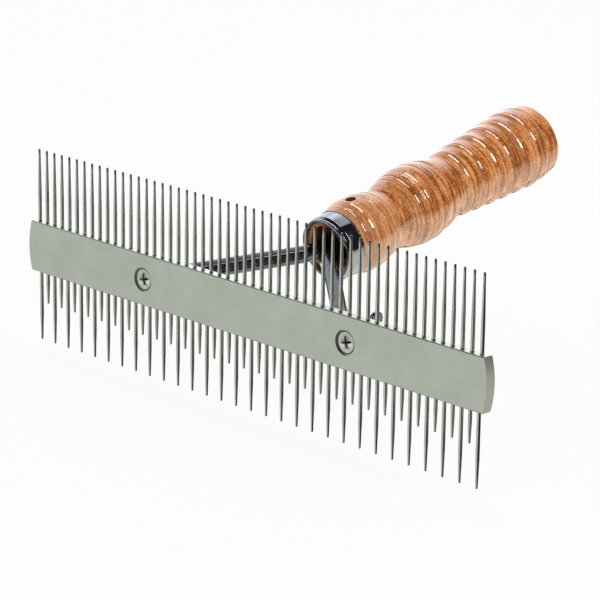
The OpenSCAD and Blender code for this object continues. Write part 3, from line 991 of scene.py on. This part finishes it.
def build_wing_nut(name, side, turn):
    """A forged wing nut: turned boss and two rounded ears, blended into each other."""
    boss = [circle(side, NUT_Y + y, radius, AROUND_NUT) for y, radius in BOSS_PROFILE]
    nut = ring_solid(name, boss)
    ears = [build_ear(name, side, turn), build_ear(name, side, turn + math.pi)]
    for ear in ears:
        combine(nut, ear, "UNION")
    remesh = nut.modifiers.new("remesh", "REMESH")
    remesh.mode = "VOXEL"
    remesh.voxel_size = NUT_VOXEL * MM
    soften = nut.modifiers.new("soften", "SMOOTH")
    soften.factor = 0.6
    soften.iterations = 7
    apply_modifiers(nut)
    start = Vector((side * SCREW_X, NUT_Y - 1, 0))
    end = start + Vector((0, 14, 0))
    cut(nut, [cylinder("nut_bore", start, end, SCREW_D / 2 + BORE_CLEARANCE)])
    nut.data.shade_smooth()
    nut.data.set_sharp_from_angle(angle=math.radians(50))
    return finish_piece(nut, NICKEL, "wing_nuts", side_word(side) + "_wing_nut")


# ---------------------------------------------------------------------------
# The pieces, and better materials for the CAD nodes that stay
# ---------------------------------------------------------------------------
SCREW_TURN = math.radians(-14)

handle_piece = build_handle()
ferrule_piece = build_ferrule()
arm_pieces = [build_arm("left_rod", -1), build_arm("right_rod", 1)]
build_screw("left_flat_screw", -1, SCREW_TURN)
build_screw("right_flat_screw", 1, SCREW_TURN)
build_lock_washer("left_spring_washer", -1)
build_lock_washer("right_spring_washer", 1)
nut_pieces = [
    build_wing_nut("left_winged_nut", -1, LEFT_NUT_TURN),
    build_wing_nut("right_winged_nut", 1, RIGHT_NUT_TURN),
]

for node_name, material in (
    ("comb_bar", ALUMINIUM),
    ("upper_teeth", TOOTH_STEEL),
    ("lower_long_teeth", TOOTH_STEEL),
    ("lower_short_teeth", TOOTH_STEEL),
    ("retaining_pin", PIN_STEEL),
):
    node = nodes[node_name]
    node.data.materials.clear()
    node.data.materials.append(material)


# ---------------------------------------------------------------------------
# Studio: floor, cards, world, lights and camera, in metres
# ---------------------------------------------------------------------------
FLOOR_HALF = 8.0
FLOOR_GAP = 0.0005
FLOOR_GLOW = 0.9
CARD_END = 6.0
CARD_COLOUR = (1.0, 0.98, 0.82, 1)
HANDLE_Y = 0.1
SOFT_FADE = (0.08, 0.6)
FAR_FADE = (4.0, 6.0)
WORLD_BASE = (0.03, 0.03, 0.033)
AMBIENT = 0.74
LIGHT_TARGET = Vector((0, 0.08, 0.015))
CAMERA_PLACE = Vector((0.698193, -0.661295, 0.287972))
CAMERA_TURN = Euler([math.radians(a) for a in (73.5426, -0.8353, 45.5740)])
CAMERA_LENS = 174.46


def level_sheet(name, low, high, level, material):
    """A flat rectangle between two corners (x, y); it is staging, not part of the object."""
    mesh = bpy.data.meshes.new(name)
    (x0, y0), (x1, y1) = low, high
    corners = [(x0, y0, level), (x1, y0, level), (x1, y1, level), (x0, y1, level)]
    mesh.from_pydata(corners, [], [(0, 1, 2, 3)])
    mesh.materials.append(material)
    sheet = bpy.data.objects.new(name, mesh)
    bpy.context.scene.collection.objects.link(sheet)
    return sheet


def build_floor():
    """A wide pale floor just under the lowest tooth tips."""
    s = Shader("pale_floor")
    s.set(Base_Color=(0.85, 0.85, 0.85, 1), Roughness=0.9)
    glow = s.node("ShaderNodeEmission", Color=(1, 1, 1, 1), Strength=1.0)
    path = s.node("ShaderNodeLightPath")
    blend = s.node("ShaderNodeMixShader")
    s.feed(blend.inputs[0], s.math("MULTIPLY", path.outputs["Is Camera Ray"], FLOOR_GLOW))
    s.feed(blend.inputs[1], s.main.outputs[0])
    s.feed(blend.inputs[2], glow.outputs[0])
    s.surface(blend.outputs[0])
    level = cad_box[0][2] - FLOOR_GAP
    low, high = (-FLOOR_HALF, -FLOOR_HALF), (FLOOR_HALF, FLOOR_HALF)
    floor = level_sheet("floor", low, high, level, s.material)
    floor.visible_glossy = False


def shine_only_on(light, *pieces):
    """Limits a light to some pieces, as a flag between it and the others would."""
    lit = bpy.data.collections.new(light.name + "_lit")
    for piece in pieces:
        lit.objects.link(piece)
    light.light_linking.receiver_collection = lit


def build_floor_card(name, strength, gap, start, fade, *pieces):
    """A white card on the floor behind the comb, seen only in the reflections of some pieces.

    Its left edge is at start, and its light dies away between two distances from the handle.
    """
    level = cad_box[0][2] - gap
    s = Shader(name + "_glow")
    distance = s.node("ShaderNodeVectorMath")
    distance.operation = "DISTANCE"
    s.feed(distance.inputs[0], s.coord)
    s.feed(distance.inputs[1], (0.0, HANDLE_Y, level))
    light = s.span(distance.outputs["Value"], *fade, strength, 0.0, shape="SMOOTHSTEP")
    glow = s.node("ShaderNodeEmission", Color=CARD_COLOUR, Strength=light)
    both = s.node("ShaderNodeAddShader")
    s.feed(both.inputs[0], glow.outputs[0])
    s.feed(both.inputs[1], s.node("ShaderNodeBsdfTransparent").outputs[0])
    s.surface(both.outputs[0])
    card = level_sheet(name, (start, 0.0), (CARD_END, CARD_END), level, s.material)
    card.visible_camera = False
    card.visible_diffuse = False
    card.visible_shadow = False
    shine_only_on(card, *pieces)


def vector_math(tree, operation, first, second):
    """A vector maths node between a socket and another socket or a fixed vector."""
    made = tree.nodes.new("ShaderNodeVectorMath")
    made.operation = operation
    tree.links.new(first, made.inputs[0])
    if isinstance(second, bpy.types.NodeSocket):
        tree.links.new(second, made.inputs[1])
    else:
        made.inputs[1].default_value = second
    return made


def world_pool(tree, direction, inner, outer, colour):
    """A soft patch of light round a direction; the angles are in degrees from its middle."""
    coord = tree.nodes.new("ShaderNodeTexCoord").outputs["Generated"]
    dot = vector_math(tree, "DOT_PRODUCT", coord, Vector(direction).normalized())
    share = tree.nodes.new("ShaderNodeMapRange")
    share.interpolation_type = "SMOOTHSTEP"
    share.inputs["From Min"].default_value = math.cos(math.radians(outer))
    share.inputs["From Max"].default_value = math.cos(math.radians(inner))
    tree.links.new(dot.outputs["Value"], share.inputs["Value"])
    scale = tree.nodes.new("ShaderNodeVectorMath")
    scale.operation = "SCALE"
    scale.inputs[0].default_value = colour
    tree.links.new(share.outputs["Result"], scale.inputs["Scale"])
    return scale.outputs["Vector"]


def mix_by(tree, ray_kind, others, these):
    """Shows one background to a kind of ray and another to the other rays."""
    path = tree.nodes.new("ShaderNodeLightPath")
    mix = tree.nodes.new("ShaderNodeMixShader")
    tree.links.new(path.outputs[ray_kind], mix.inputs[0])
    tree.links.new(others.outputs[0], mix.inputs[1])
    tree.links.new(these.outputs[0], mix.inputs[2])
    return mix


def build_world():
    """White behind the comb and even ambient light, but a dark studio in the reflections.

    It has two bright pools: a wall behind on the left and a fainter one low in front.
    """
    world = bpy.data.worlds.new("studio")
    bpy.context.scene.world = world
    world.use_nodes = True
    world.cycles.sampling_method = "NONE"
    tree = world.node_tree
    tree.nodes.clear()
    wall = world_pool(tree, (-0.78, 0.60, 0.20), 20, 58, (1.48, 1.56, 1.60))
    front = world_pool(tree, (-0.406, -0.87, -0.28), 38, 62, (0.56, 0.58, 0.545))
    both = vector_math(tree, "ADD", wall, front).outputs["Vector"]
    glossy = tree.nodes.new("ShaderNodeBackground")
    total = vector_math(tree, "ADD", both, WORLD_BASE).outputs["Vector"]
    tree.links.new(total, glossy.inputs["Color"])
    ambient = tree.nodes.new("ShaderNodeBackground")
    ambient.inputs["Color"].default_value = (1, 1, 1, 1)
    ambient.inputs["Strength"].default_value = AMBIENT
    backdrop = tree.nodes.new("ShaderNodeBackground")
    backdrop.inputs["Color"].default_value = (1, 1, 1, 1)
    lighting = mix_by(tree, "Is Glossy Ray", ambient, glossy)
    everything = mix_by(tree, "Is Camera Ray", lighting, backdrop)
    out = tree.nodes.new("ShaderNodeOutputWorld")
    tree.links.new(everything.outputs[0], out.inputs["Surface"])


def softbox(name, first, last, width, radiance, distance=1.6):
    """A rectangular light whose long side runs from one direction to another."""
    first, last = Vector(first).normalized(), Vector(last).normalized()
    middle = (first + last).normalized()
    long_side = (last - first).normalized()
    across = middle.cross(long_side)
    length = 2 * distance * math.tan(first.angle(last) / 2)
    data = bpy.data.lights.new(name, "AREA")
    data.shape = "RECTANGLE"
    data.size = length
    data.size_y = width
    data.energy = radiance * math.pi * length * width
    light = bpy.data.objects.new(name, data)
    bpy.context.scene.collection.objects.link(light)
    turn = Matrix((long_side, across, middle)).transposed().to_4x4()
    light.matrix_world = Matrix.Translation(LIGHT_TARGET + middle * distance) @ turn
    return light


def build_camera():
    data = bpy.data.cameras.new("camera")
    data.sensor_width = 36
    data.lens = CAMERA_LENS
    data.clip_start = 0.05
    data.clip_end = 50
    camera = bpy.data.objects.new("camera", data)
    bpy.context.scene.collection.objects.link(camera)
    camera.matrix_world = Matrix.Translation(CAMERA_PLACE) @ CAMERA_TURN.to_matrix().to_4x4()
    bpy.context.scene.camera = camera
    bpy.context.scene.view_settings.view_transform = "Standard"


build_floor()
build_floor_card("wood_card", 1.4, 0.0002, -0.02, SOFT_FADE, handle_piece, ferrule_piece)
build_floor_card("rod_card", 1.4, 0.0003, -0.3, FAR_FADE, *arm_pieces)
build_floor_card("bar_card", 0.5, 0.0004, -0.3, FAR_FADE, nodes["comb_bar"], *nut_pieces)
build_world()
softbox("top_softbox", (-0.472, 0.258, 0.843), (0.239, 0.177, 0.955), 0.12, 9)
softbox("right_softbox", (0.605, 0.200, 0.770), (0.853, 0.270, 0.446), 0.12, 13)
softbox("front_softbox", (-0.95, -0.45, 0.30), (-0.40, -0.85, 0.40), 0.9, 1.0, distance=2.2)
ferrule_card = softbox("ferrule_card", (-0.60, 0.47, 0.62), (0.227, 0.437, 0.87), 0.6, 0.95)
rod_band = softbox("rod_band", (-0.66, 0.28, 0.69), (-0.16, -0.39, 0.91), 0.8, 0.9)
rod_line = softbox("rod_line", (-0.03, -0.525, 0.85), (0.07, -0.625, 0.775), 0.8, 5.0)
shine_only_on(ferrule_card, ferrule_piece)
shine_only_on(rod_band, *arm_pieces)
shine_only_on(rod_line, *arm_pieces)
build_camera()
